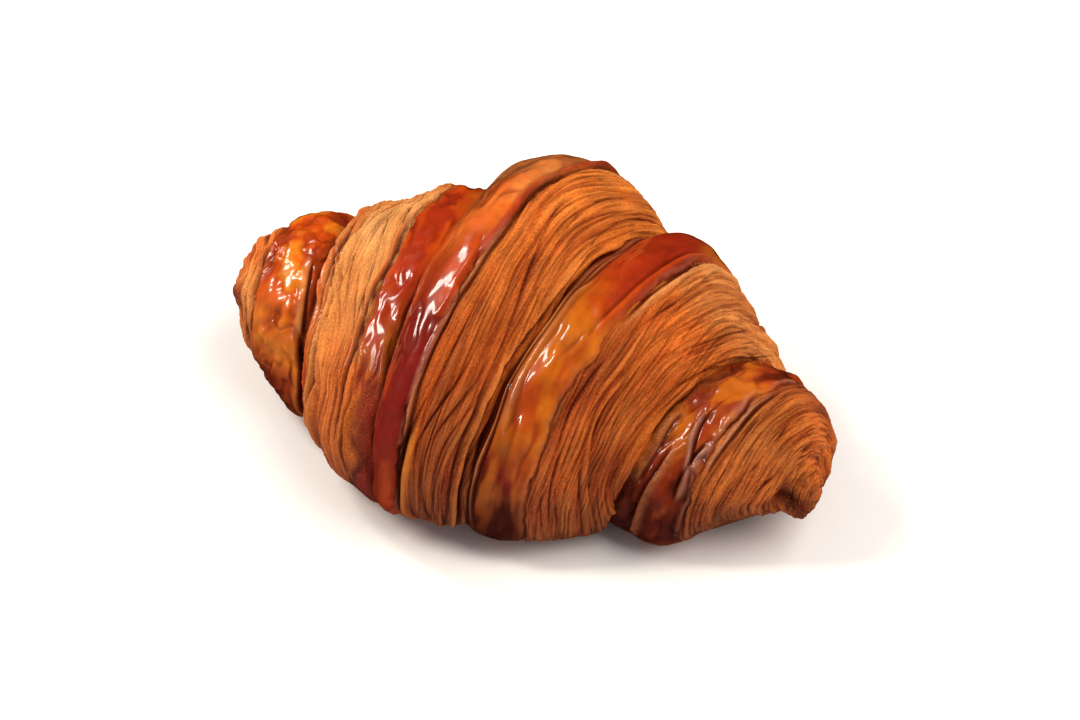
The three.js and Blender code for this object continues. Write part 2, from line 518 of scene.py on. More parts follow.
@dataclass(frozen=True)
class CutFace:
    """A cut face: the edges of many thin dough layers, parted by dark cracks."""

    first: str  # the rings that it lies between
    last: str
    layers: int  # how many broad layers show
    lip: Side  # the end that overhangs a groove
    tones: Tones
    seed: int
    stand: float = 0.3  # how far a layer stands above the crack beside it
    level: float = 0.2  # how far neighbouring layers lie at different heights
    split: float = 0.42  # depth of the deeper cracks
    split_width: float = 0.18
    split_share: float = 0.25  # more than 0 keeps a crack open for more of its way round
    edge_shade: float = 0.3  # painted shade between two strands that have no crack between them
    widths: tuple[float, float] = (0.5, 1.6)  # narrowest and widest strand against the mean
    skews: tuple[float, float] = (0.7, 1.4)  # how far a strand's crest leans to either side
    fullness: float = 2.2  # squareness of a strand in section
    swelling: float = 0.5  # how much its height changes on its way round
    full_width: float = 1.1  # width from which a strand stands at its full height
    least_height: float = 0.15  # share of that height which the finest strand keeps
    drift: float = 0.25  # share of the face that the layers slant across in a turn
    sway: float = 0.5  # how far the layers swing together from side to side
    sway_size: float = 26.0
    jitter: float = 0.06  # how far their torn edges stray
    jitter_size: float = 1.6
    spare: float = 0.6  # share of the face laid out beyond each end, for the slant
    waver: float = 0.4  # how much a layer thins and thickens on its way round
    lip_swell: float = 0.5  # extra height of the layer at the overhanging end
    lip_width: float = 0.9
    crumb: float = 0.11  # height of the loose crumbs
    crumb_size: float = 1.0
    crumb_free: tuple[float, float] = (0.5, 4.0)  # crumbs begin this far from the clean lip
    closed_size: float = 9.0  # patches where the cracks have closed up
    closed: float = 0.45  # painted shade that a crack keeps there
    fade: float = 0.5  # distance over which the relief dies out at either end
    even_crest: float = 0.55  # painted highlight on the tops, whether they stand high or low
    tint: float = 0.62  # how much paler or darker one layer is than the next
    own_tint: float = 0.6  # share of that which a strand keeps all the way round
    changing_tint: float = 0.8  # share of it which comes and goes
    tint_range: tuple[float, float] = (0.3, 1.8)  # darkest and palest that a layer may be

    def apply(self, relief: Relief) -> None:
        """Adds the face's layers and colours to the relief.

        Args:
            relief: what lies on the form so far.
        """
        form = relief.form
        start, end, rows = form.band(self.first, self.last)
        inside = (start >= 0) & (end < 0)
        worn, place = inside[rows], form.place[rows]
        span = (form.at(self.last) - form.at(self.first))[None, :]
        share = form.past(self.first)[rows] / span
        share = share + self.drift * form.winding(form.angle)[None, :]
        share = share + self.sway / span * Noise(self.seed).at(place, self.sway_size)
        share = share + self.jitter / span * Noise(self.seed + 1).at(place, self.jitter_size)

        height, crack, crest, pale = 0, 0, 0, 0
        for lay in LAMINATION:
            made = self.strands(share, span, lay)
            height = height + made.height
            # painted shade in the cracks and between strands; painted highlight on the crests
            crack = np.maximum(crack, lay.dark * made.crack)
            crest = crest + made.crest / len(LAMINATION)
            pale = pale + lay.tinge * made.pale
        grain = Noise(self.seed + 3).rough(place, self.crumb_size, 2)
        broken = smooth(-0.6, 0.2, Noise(self.seed + 4).rough(place, self.closed_size, 2))
        edge = start[rows] if self.lip is Side.LEFT else -end[rows]
        height = height + self.crumb * grain * smooth(*self.crumb_free, edge)
        crack = crack * (self.closed + (1 - self.closed) * broken)
        height = height + self.lip_swell * bell(edge - self.lip_width, self.lip_width)
        fade = smooth(0, self.fade, start[rows]) * smooth(0, self.fade, -end[rows])
        relief.height[rows] += np.where(worn, height * fade, 0)
        relief.crack[rows] += np.where(worn, crack, 0)
        relief.crest[rows] += np.where(worn, crest, 0)
        relief.paint(inside.astype(float), self.tones, self.seed + 11)
        shade = np.clip(1 + self.tint * pale, *self.tint_range)
        relief.colour[rows] *= np.where(worn, shade, 1)[..., None] ** BROWNING

    def strands(self, share: Array, span: Array, lay: Lay) -> Strands:
        """Lays strands side by side across the face.

        Args:
            share: place of each point across the face, 0 to 1.
            span: width of the face at each angle in mm.
            lay: how many strands there are, how high and how strongly tinged.

        Returns:
            The strands, measured at each point.
        """
        seed = self.seed + round(10 * lay.times)
        total = round(round(self.layers * lay.times) * (1 + 2 * self.spare))
        radians = np.linspace(-math.pi, math.pi, share.shape[1] + 1)[:-1]
        width = np.exp(self.waver * Waves(seed, 1, 4).round(radians, total))
        width *= np.random.default_rng(seed).uniform(*self.widths, size=(total, 1))
        edges = np.concatenate([np.zeros((1, share.shape[1])), np.cumsum(width, axis=0)])
        edges = edges / edges[-1] * (1 + 2 * self.spare) - self.spare
        index = np.zeros(share.shape, int)
        for edge in edges[1:-1]:
            index += share >= edge[None, :]
        column = np.arange(share.shape[1])[None, :]
        lower, upper = edges[index, column], edges[index + 1, column]
        across = np.clip((share - lower) / (upper - lower), 0, 1)
        wide = (upper - lower) * span
        skew = np.random.default_rng(seed + 1).uniform(*self.skews, size=total)[index]
        bulge = 1 - np.abs(2 * across ** skew - 1) ** self.fullness
        swell = Waves(seed + 2, 2, 14).round(radians, total)[index, column]
        swell = 1 + self.swelling * swell
        level = Waves(seed + 3, 1, 10).round(radians, total)[index, column]
        small = np.clip(wide / self.full_width, self.least_height, 1)
        height = lay.scale * small * (self.stand * swell * bulge + self.level * level)

        # a crack opens and closes on its way round, between this strand and either neighbour
        depth = self.split_share + Waves(seed + 4, 1, 11).round(radians, total + 1)
        depth = np.clip(depth, 0, 1)
        gap = self.split_width * lay.gap
        crack_low = depth[index, column] * bell(across * wide, gap)
        crack_high = depth[index + 1, column] * bell((1 - across) * wide, gap)
        crack = np.maximum(crack_low, crack_high)
        height = height - lay.scale * self.split * crack
        shade = np.clip(crack + self.edge_shade * (1 - bulge) ** 3, 0, 1)

        own = np.random.default_rng(seed + 5).uniform(-1, 1, size=total)[index]
        change = Waves(seed + 6, 1, 6).round(radians, total)[index, column]
        pale = np.clip(self.own_tint * own + self.changing_tint * change, -1, 1)
        crest = bulge * np.clip(self.even_crest + (1 - self.even_crest) * level, 0, 1)
        return Strands(height, shade, crest, pale)


@dataclass(frozen=True)
class GlazedSkin:
    """A glossy outer skin: egg-washed dough that blistered and wrinkled as it baked."""

    first: str  # the rings that it lies between
    last: str
    tones: Tones
    seed: int
    bulge: float = 0.0  # how far the middle of the band swells out
    blister: float = 0.55  # height of the broad blisters
    blister_size: float = 8.0
    stretch: float = 0.4  # width of a blister against its length along the winding
    flat: float = 0.4  # how far up a blister the even skin lies
    sway: float = 1.0  # how far the blisters and creases stray together
    sway_size: float = 9.0
    apart: float = 1.7  # mm for each seed, so that no two skins share their blisters
    wrinkle: float = 0.3  # depth of the creases that run with the winding
    wrinkle_size: float = 5.0
    wrinkle_width: float = 0.16  # of a crease, as a share of the rise and fall that makes it
    # painted shade in the creases
    wrinkle_dark: float = 0.4
    patch_size: float = 11.0  # patches that have creases and patches that have none
    ripple: float = 0.11  # height of the finest unevenness
    ripple_size: float = 2.4
    fade: float = 1.2  # distance over which the relief dies out at either end
    glaze: float = 1.0  # how much egg wash lies on it
    dull: float = -200.0  # angle below which the wash ran off the front and left it matt
    dull_blend: float = 12.0  # degrees either side over which it does so
    pool: Bake = Bake.AMBER  # where the wash pooled
    scorched: Bake = Bake.CHESTNUT  # where it ran thin
    blotch: float = 0.6  # strength of the two
    blotch_size: float = 9.0
    on_blister: float = 0.3  # how much the wash gathered on the blisters
    crease_shade: float = 0.25  # how far the creases take the scorched colour, painted shade
    pool_heights: tuple[float, float] = (6.0, 26.0)  # mm between which it begins to pool
    low_pool: float = 0.2  # share of the pooling below them

    def apply(self, relief: Relief) -> None:
        """Adds the skin's blisters, wrinkles, gloss and colours to the relief.

        Args:
            relief: what lies on the form so far.
        """
        form = relief.form
        start, end, rows = form.band(self.first, self.last)
        inside = (start >= 0) & (end < 0)
        worn, place = inside[rows], form.place[rows]
        # the skin as it was rolled out: across it, along the winding, and a slice of its own
        round_mm = np.radians(form.angle)[None, :] * form.girth(rows) * self.stretch
        away = start[rows] + self.sway * Noise(self.seed + 9).at(place, self.sway_size)
        run = np.stack([away, round_mm, np.full(worn.shape, self.seed * self.apart)], -1)

        bubble = smooth(-0.4, 0.6, Noise(self.seed).rough(run, self.blister_size, 2))
        fold = Noise(self.seed + 2).rough(run, self.wrinkle_size, 2)
        patch = smooth(-0.2, 0.5, Noise(self.seed + 3).at(place, self.patch_size))
        crease = bell(fold, self.wrinkle_width) * patch
        ripple = Noise(self.seed + 4).rough(run, self.ripple_size, 2)
        share = np.clip(start[rows] / np.maximum(start - end, 1e-6)[rows], 0, 1)
        height = self.bulge * np.sqrt(np.clip(4 * share * (1 - share), 0, 1))
        height = height + self.blister * (bubble - self.flat) - self.wrinkle * crease
        height = height + self.ripple * ripple
        fade = smooth(0, self.fade, start[rows]) * smooth(0, self.fade, -end[rows])
        relief.height[rows] += np.where(worn, height * fade, 0)
        wet = smooth(self.dull - self.dull_blend, self.dull + self.dull_blend, form.angle)
        relief.glaze += np.where(inside, self.glaze * wet[None, :], 0)
        # painted shade in the creases
        relief.crack[rows] += np.where(worn, self.wrinkle_dark * crease, 0)

        relief.paint(inside.astype(float), self.tones, self.seed + 11)
        cloud = Noise(self.seed + 6).rough(run, self.blotch_size, 4)
        # the scorched colour leans into the creases as painted shade
        cloud = cloud + self.on_blister * (bubble - 0.5) - self.crease_shade * crease
        high_up = smooth(*self.pool_heights, place[..., 2])
        high_up = self.low_pool + (1 - self.low_pool) * high_up
        for bake, part in ((self.pool, high_up * smooth(0.0, 0.45, cloud)),
                           (self.scorched, smooth(0.05, 0.5, -cloud))):
            relief.stain(np.where(worn, self.blotch * part, 0), bake, rows)


@dataclass(frozen=True)
class Fold:
    """A thin sheet of dough that lifted off the crust and baked to a curled, raised edge."""

    ring: str
    away: float  # mm beyond the ring, at the middle of its line
    start: float  # angles round the body where it begins and ends
    end: float
    tone: Bake
    gap: Side  # the side that its free edge and the dark gap beside it lie on
    width: float = 1.6
    height: float = 0.9
    share: float = 0.75  # strength of its own colour
    slant: float = 0.0  # mm it runs across from its start to its end
    gloss: float = 0.3  # how much egg wash lies on it
    shade: float = 1.0  # how deep the gap beside it is, and how much painted shade lies in it
    stray: float = 0.35  # how far it swings from side to side
    taper: float = 0.18  # share of its length over which each end dies out
    uneven: float = 0.25  # how much its height changes on its way
    crown: float = -0.15  # where it is highest, in widths beyond its middle line
    drop: tuple[float, float] = (-0.15, 0.55)  # mm beyond the line between which its edge falls
    gap_at: float = 0.5  # mm beyond the line where the gap is deepest
    gap_width: float = 0.42
    gap_depth: float = 0.8  # against the height of the sheet

    def apply(self, relief: Relief) -> None:
        """Raises the sheet and colours it, and sinks the gap beside it with painted shade in it.

        Args:
            relief: what lies on the form so far.
        """
        form = relief.form
        along = (form.angle - self.start) / (self.end - self.start)
        worn = (smooth(0, self.taper, along) * smooth(0, self.taper, 1 - along))[None, :]
        seed = hash_of(self.ring) + round(abs(self.start))
        radians = np.radians(form.angle)
        stray = self.stray * Waves(seed, 2, 7).round(radians, 1)
        line = form.past(self.ring) - self.away - self.slant * (along[None, :] - 0.5) - stray
        line = line * (1 if self.gap is Side.RIGHT else -1)
        # a long slope up to the free edge, then a short fall into the gap
        body = smooth(-self.width, self.crown * self.width, line)
        body = body * (1 - smooth(*self.drop, line))
        body = body * worn * (1 + self.uneven * Waves(seed + 1, 2, 9).round(radians, 1))
        # painted shade in the gap beside the free edge
        dark = self.shade * bell(line - self.gap_at, self.gap_width) * worn
        relief.height += self.height * (body - self.gap_depth * dark)
        relief.crack *= 1 - 0.8 * body  # the sheet covers most of the cracks under it
        relief.crack += dark
        relief.glaze += (self.gloss - relief.glaze) * np.clip(body, 0, 1)
        relief.stain(self.share * np.clip(body, 0, 1), self.tone)


@dataclass(frozen=True)
class Bubble:
    """A blister of the glazed skin, lifted by steam and set hard, that catches the light."""

    ring: str
    away: float  # mm beyond the ring
    angle: float
    spread: float  # degrees that it reaches round the body, either way
    width: float  # mm that it reaches across the skin, either way
    height: float
    slant: float = 0.8  # mm that it leans back for each spread

    def apply(self, relief: Relief) -> None:
        """Raises the blister.

        Args:
            relief: what lies on the form so far.
        """
        form = relief.form
        turned = (form.angle - self.angle)[None, :] / self.spread
        across = (form.past(self.ring) - self.away + self.slant * turned) / self.width
        relief.height += self.height * np.exp(-(turned ** 2) - across ** 2)


@dataclass(frozen=True)
class Hollow:
    """A dent or a knob with a dark tone; in the mouth of the roll at a tip it is painted shade."""

    ring: str
    angle: float  # round the body, at its middle
    radius: float
    depth: float  # below zero for a knob
    tone: Bake
    share: float  # strength of its own colour
    seed: int = 31  # of its uneven outline
    uneven: float = 0.25  # share of the radius by which the outline strays

    def apply(self, relief: Relief) -> None:
        """Presses the dent in and darkens it, which in the mouth of the roll is painted shade.

        Args:
            relief: what lies on the form so far.
        """
        form = relief.form
        row = np.array([list(form.stations).index(self.ring)], float)
        centre = form.surface(row, np.array([self.angle]), True)[0, 0]
        away = np.linalg.norm(form.place - centre, axis=2)
        stray = Noise(self.seed).at(form.place, 2 * self.radius)
        near = bell(away + self.uneven * self.radius * stray, self.radius)
        relief.height -= self.depth * near
        relief.glaze *= 1 - near
        relief.crest *= 1 - near
        # a dark tone, which in the mouth of the roll is painted shade
        relief.stain(self.share * near, self.tone)


@dataclass(frozen=True)
class Seam:
    """The line where a skin turns into the cut face beside it, with the skin's raised rim."""

    ring: str
    skin: Side  # the side of the line that the skin lies on
    rim: float = 0.45  # height of the rim
    rim_width: float = 0.9
    gap: float = 0.5  # depth of the crack under the rim
    gap_width: float = 0.3
    tone: Bake = Bake.COPPER  # of the thin rim, which browns on its own
    tone_share: float = 0.5
    tone_at: float = 0.7  # mm into the skin where that colour is strongest
    tone_width: float = 0.6
    dark: float = 0.8  # painted shade in the crack
    dark_at: float = 0.15  # mm beyond the line where the crack is darkest
    gap_at: float = 0.2  # and where it is deepest
    dark_spread: float = 1.2  # width of the dark against the gap's
    foot: tuple[float, float] = (-0.9, -0.5)  # shares of the way up between which it opens
    evenness: float = 0.7  # of the rim on its way round
    unevenness: float = 0.5

    def apply(self, relief: Relief) -> None:
        """Raises the rim, colours it and sinks the crack, with painted shade in it.

        Args:
            relief: what lies on the form so far.
        """
        form = relief.form
        away = form.torn(self.ring) * (-1 if self.skin is Side.LEFT else 1)
        radians = np.radians(form.angle)
        open_share = smooth(*self.foot, np.cos(radians))[None, :]
        ripple = Waves(hash_of(self.ring), 2, 9).round(radians, 1)
        ripple = self.evenness + self.unevenness * ripple
        rim = self.rim * bell(away - self.rim_width, self.rim_width)
        gap = self.gap * bell(away + self.gap_at, self.gap_width)
        relief.height += (rim - gap) * open_share * ripple
        edge = self.tone_share * bell(away - self.tone_at, self.tone_width)
        relief.stain(edge * np.clip(ripple, 0, 1) * open_share, self.tone)
        # painted shade in the crack under the rim
        crack = self.dark * bell(away + self.dark_at, self.gap_width * self.dark_spread)
        relief.crack += crack * open_share * ripple


@dataclass(frozen=True)
class Groove:
    """The valley between two bands, under the overhanging lip, with painted shade in it."""

    first: str  # the rings that it lies between
    last: str
    reach: float = 1.4  # how far the painted shade spreads out of the valley
    depth: float = 0.4  # how much deeper than the form it is pressed
    dark: float = 0.95
    foot: tuple[float, float] = (-0.9, -0.4)  # shares of the way up between which it opens
    dull: float = 0.8  # share of the gloss that it takes away
    dull_reach: float = 0.5

    def apply(self, relief: Relief) -> None:
        """Deepens the valley, paints shade into it and takes its gloss away.

        Args:
            relief: what lies on the form so far.
        """
        form = relief.form
        past, short = form.past(self.first), -form.past(self.last)
        outside = np.maximum(0, np.maximum(-past, -short))
        dark = bell(outside, self.reach)
        open_share = smooth(*self.foot, np.cos(np.radians(form.angle)))[None, :]
        relief.height -= self.depth * dark * open_share
        # painted shade in the valley
        relief.crack = np.maximum(relief.crack, self.dark * dark)
        relief.glaze *= 1 - self.dull * bell(outside, self.dull_reach)


@dataclass(frozen=True)
class Underside:
    """The base, browned flat against the tray, dry and without a gloss."""

    tones: Tones
    strength: float = 0.85
    seed: int = 71  # of its blotches
    heights: tuple[float, float] = (0.3, 2.6)  # mm between which it gives way to the flanks
    turned_down: tuple[float, float] = (0.3, 0.8)  # share of facing down that counts as base
    overhang: float = 0.8  # strength where the crust only faces down

    def apply(self, relief: Relief) -> None:
        """Lays the base over whatever touches the tray or faces down to it.

        Args:
            relief: what lies on the form so far.
        """
        form = relief.form
        low = 1 - smooth(*self.heights, form.place[..., 2])
        facing_down = smooth(*self.turned_down, -form.normal[..., 2])
        base = np.clip(low + self.overhang * facing_down, 0, 1)
        relief.glaze *= 1 - base
        relief.crest *= 1 - base
        relief.paint(base * self.strength, self.tones, self.seed)


def skins_and_faces() -> list[Layer]:
    """Lists the glossy skins and the cut faces from the left tip to the right.

    Returns:
        The layers, each as wide as the rings it is named for lie apart.
    """
    b = Bake
    return [
        CutFace("left_pole", "l3_edge", 9, Side.LEFT,
                ((-130, b.BRICK), (-95, b.COPPER), (-60, b.HONEY), (-20, b.APRICOT),
                 (90, b.COPPER), (150, b.CHESTNUT)), 101,
                drift=0.15, lip_swell=0.0, waver=0.15, crumb=0.08),
        GlazedSkin("l3_edge", "l3_root",
                   ((-130, b.UMBER), (-95, b.BRICK), (-68, b.GOLD), (-35, b.ORANGE),
                    (0, b.ORANGE), (60, b.RUST), (150, b.CHESTNUT)), 102,
                   blister=1.1, blister_size=5.0, stretch=0.8, wrinkle=0.6, ripple=0.1,
                   pool=b.SUN, scorched=b.BRICK, blotch=0.75),
        CutFace("l3_root", "l2_edge", 12, Side.LEFT,
                ((-130, b.BRICK), (-90, b.COPPER), (-60, b.APRICOT), (-28, b.HONEY),
                 (15, b.STRAW), (60, b.GOLD), (150, b.CHESTNUT)), 103,
                lip_swell=0.7, crumb=0.13, tint=0.4),
        GlazedSkin("l2_edge", "l2_root",
                   ((-130, b.UMBER), (-90, b.CHESTNUT), (-60, b.BRICK), (-30, b.RUST),
                    (-10, b.ORANGE), (25, b.ORANGE), (70, b.ORANGE), (150, b.CHESTNUT)), 104,
                   bulge=0.3, blister=1.1, blister_size=6.0, stretch=0.4, wrinkle=0.5,
                   ripple=0.06, dull=-42, pool=b.AMBER, scorched=b.CRIMSON, blotch=0.85),
        GlazedSkin("l2_root", "ridge_edge",
                   ((-130, b.RUST), (-104, b.ORANGE), (-90, b.RUST), (-72, b.CLARET),
                    (-35, b.CLARET), (-16, b.RUST), (-2, b.APRICOT), (20, b.HONEY),
                    (60, b.APRICOT), (100, b.RUST), (150, b.CHESTNUT)), 105,
                   bulge=0.9, blister=0.45, blister_size=7.0, wrinkle=0.3,
                   pool=b.ORANGE, scorched=b.CLARET, blotch=0.45),
        CutFace("ridge_edge", "mid_under", 17, Side.RIGHT,
                ((-130, b.CHESTNUT), (-85, b.BRICK), (-50, b.RUST), (-15, b.COPPER),
                 (12, b.APRICOT), (45, b.GOLD), (100, b.COPPER), (150, b.CHESTNUT)), 106,
                drift=0.35),
        GlazedSkin("mid_under", "r2_edge",
                   ((-130, b.UMBER), (-84, b.UMBER), (-70, b.CLARET), (-54, b.AMBER),
                    (-25, b.AMBER), (0, b.RUST), (30, b.CRIMSON), (90, b.ORANGE),
                    (150, b.CHESTNUT)), 107,
                   bulge=1.3, blister=1.1, blister_size=6.0, stretch=0.25, wrinkle=0.3,
                   ripple=0.08, pool=b.AMBER, scorched=b.CRIMSON, blotch=0.7),
        CutFace("r2_edge", "r2_under", 18, Side.RIGHT,
                ((-130, b.CHESTNUT), (-90, b.BRICK), (-50, b.RUST), (-15, b.COPPER),
                 (10, b.APRICOT), (40, b.HONEY), (90, b.COPPER), (150, b.CHESTNUT)), 108,
                drift=0.3, lip_swell=0.2),
        GlazedSkin("r2_under", "r3_edge",
                   ((-130, b.CHESTNUT), (-75, b.CHESTNUT), (-40, b.BRICK), (-20, b.BRICK),
                    (-4, b.TAN), (12, b.COPPER), (30, b.BRICK), (60, b.RUST),
                    (150, b.CHESTNUT)), 109,
                   blister=1.1, blister_size=5.0, stretch=0.6, wrinkle=0.6, ripple=0.14,
                   glaze=0.9, pool=b.AMBER, scorched=b.UMBER, blotch=0.75),
        CutFace("r3_edge", "right_pole", 24, Side.RIGHT,
                ((-130, b.CHESTNUT), (-70, b.COPPER), (-20, b.TAN), (30, b.COPPER),
                 (100, b.COPPER), (150, b.CHESTNUT)), 110,
                stand=0.24, level=0.12, split=0.3, lip_swell=0.0, drift=0.1, waver=0.1),
    ]


def seams_and_grooves() -> list[Layer]:
    """Lists the lines where the bands turn over and where they meet.

    Returns:
        The layers from left to right, first the seams and then the grooves.
    """
    b = Bake
    return [
        Seam("l3_edge", Side.RIGHT),
        Seam("l2_edge", Side.RIGHT, rim=0.5, tone_share=0.4),
        Seam("ridge_edge", Side.LEFT, rim=0.6, gap=0.9, tone=b.CLARET, tone_share=0.3),
        Seam("r2_edge", Side.LEFT, rim=0.5, tone=b.MEMBRANE, tone_share=0.35),
        Seam("r3_edge", Side.LEFT, rim=0.6, tone=b.MEMBRANE),
        Groove("l3_root", "l2_under", reach=1.0, dark=0.75),
        Groove("l2_root", "ridge_under", depth=1.0),
        Groove("mid_under", "r2_root"),
        Groove("r2_under", "r3_root", reach=0.9, dark=0.5),
    ]


def sheets_and_blisters() -> list[Layer]:
    """Lists the sheets that lifted off the crust and the blisters in its skins.

    A sheet is given by its ring, the mm beyond it, the angles where it starts and ends, its tone,
    its free side, its width, its height, the strength of its tone and its slant. A blister is
    given by its ring, the mm beyond it, its angle, its spread, its width and its height.

    Returns:
        The layers from left to right, each sheet over the ones before it.
    """
    b, left, right = Bake, Side.LEFT, Side.RIGHT
    return [
        # a glossy flap and a dry one on the outer left skin
        Fold("l3_skin", 2.4, -118, -52, b.SUN, right, 2.4, 1.7, gloss=0.7),
        Fold("l3_skin", 2.0, -58, -12, b.STRAW, right, 2.6, 0.7, 0.6, -2.0, gloss=0.8),
        # the stacked sheets of the inner left lip
        Fold("l2_lip", 0.9, -130, 60, b.ORANGE, left, 2.2, 0.9, 0.7, gloss=0.7),
        Fold("l2_lip", 3.0, -120, 40, b.COPPER, left, 1.6, 1.0, 0.8, gloss=0.5),
        Fold("l2_lip", 5.2, -112, 20, b.STRAW, left, 2.2, 1.4, 0.55, gloss=0.0),
        Fold("l2_lip", 7.8, -118, -14, b.HONEY, left, 2.2, 1.2, 0.5, 1.0, gloss=0.0),
        Fold("l2_edge", -1.6, -70, 15, b.ORANGE, right, 1.0, 0.5, 0.7, 1.5, gloss=0.4),
        # the rolled rim of the ridge and the lip of its broad face
        Fold("ridge_edge", -0.3, -25, 70, b.CRIMSON, right, 2.0, 0.7, 0.8, gloss=0.7),
        Fold("ridge_edge", 0.4, -85, 0, b.MEMBRANE, right, 1.3, 0.9, 0.5),
        Fold("ridge_edge", 2.0, -130, -66, b.SUN, left, 1.8, 1.0, 0.8),
        Fold("mid_lip", -4.2, -125, -40, b.CLARET, right, 3.0, 0.5, 0.6, gloss=0.0),
        Fold("mid_lip", -1.6, -125, 25, b.HONEY, right, 1.8, 1.0, 0.4, gloss=0.0),
        # the inner right skin
        Fold("r2_root", 1.0, -115, 30, b.HONEY, right, 1.1, 0.7, 0.7),
        Fold("r2_root", 4.0, -62, 4, b.FILM, right, 3.2, 0.35, 0.6, gloss=0.9, shade=0.5),
        Bubble("r2_root", 4.6, -36, 9, 2.4, 0.7),
        Bubble("r2_root", 6.6, -22, 5, 1.2, 0.9),
        Bubble("r2_root", 7.6, -31, 4, 1.2, 0.9),
        Bubble("r2_skin", 2.0, -20, 4, 1.2, 1.0),
        Bubble("r2_skin", 2.6, -12, 4, 1.2, 1.0),
        Bubble("r2_skin", 3.8, -36, 4, 1.3, 1.0),
        Bubble("r2_skin", 0.4, -55, 4, 1.6, 1.0),
        Bubble("r2_root", 5.0, -60, 4, 1.5, 0.9),
        Fold("r2_root", 0.6, -18, 62, b.FILM, right, 2.2, 0.6, 0.8, gloss=0.2),
        Fold("r2_edge", -2.2, -24, 58, b.ORANGE, left, 1.6, 0.8, 0.6, 1.5, gloss=0.9, shade=0.6),
        Fold("r2_edge", 1.2, -15, 80, b.STRAW, left, 1.8, 0.8, 0.7),
        # the outer right skin, with its papery membranes
        Bubble("r3_skin", 3.0, -7, 6, 1.4, 0.6),
        Bubble("r3_skin", 4.8, 2, 5, 1.2, 0.45),
        Bubble("r3_skin", 4.8, -19, 6, 1.2, 0.6),
        Bubble("r3_skin", 1.2, -31, 7, 1.4, 0.6),
        Fold("r3_skin", 1.6, -66, -18, b.MEMBRANE, right, 1.3, 0.8, 0.95, -6.0),
        Fold("r3_skin", 3.8, -74, -34, b.MEMBRANE, left, 2.4, 0.9, 0.95, 1.0, gloss=0.8),
        Fold("r3_root", 3.4, -110, -38, b.FILM, left, 2.6, 0.8, 0.9, 1.5, gloss=0.2),
        Fold("r3_root", 0.6, -70, -20, b.FILM, right, 3.0, 0.4, 0.8, 0.5, gloss=0.1),
        Fold("r3_edge", 1.4, -60, 20, b.MEMBRANE, right, 1.2, 0.6, 0.7),
    ]


def tips_and_base() -> list[Layer]:
    """Lists the base and the ends of the roll, where it shows at the two tips.

    Returns:
        The layers, the mouth at the right tip last because the base would cover it.
    """
    b = Bake
    return [
        Hollow("left_dome", -50, 2.6, -2.6, b.CLARET, 1.0),
        Underside(((-180, b.HONEY), (0, b.GOLD), (180, b.HONEY))),
        # the mouth of the roll at the right tip, darkened with painted shade
        Hollow("right_neck", -74, 3.0, 2.6, b.UMBER, 0.95),
        Hollow("right_nub", -78, 3.0, 0.6, b.UMBER, 0.8),
    ]


def plug(tree: bpy.types.NodeTree, value: object, socket: bpy.types.NodeSocket) -> None:
    """Gives an input its value, or a link where the value comes from another node.

    Args:
        tree: the material's nodes.
        value: a number, a colour or another node's output.
        socket: the input.
    """
    if isinstance(value, bpy.types.NodeSocket):
        tree.links.new(value, socket)
    else:
        socket.default_value = value


def add(tree: bpy.types.NodeTree, kind: str, settings: dict[str, object],
        inputs: dict[int | str, object], output: int | str = 0) -> bpy.types.NodeSocket:
    """Adds a node with its settings and links.

    Args:
        tree: the material's nodes.
        kind: the node's type.
        settings: the node's own options by name.
        inputs: a value or another node's output for each input, by name or place.
        output: which of its outputs is wanted.

    Returns:
        That output.
    """
    node = tree.nodes.new(kind)
    for name, value in settings.items():
        setattr(node, name, value)
    for name, value in inputs.items():
        plug(tree, value, node.inputs[name])
    return node.outputs[output]


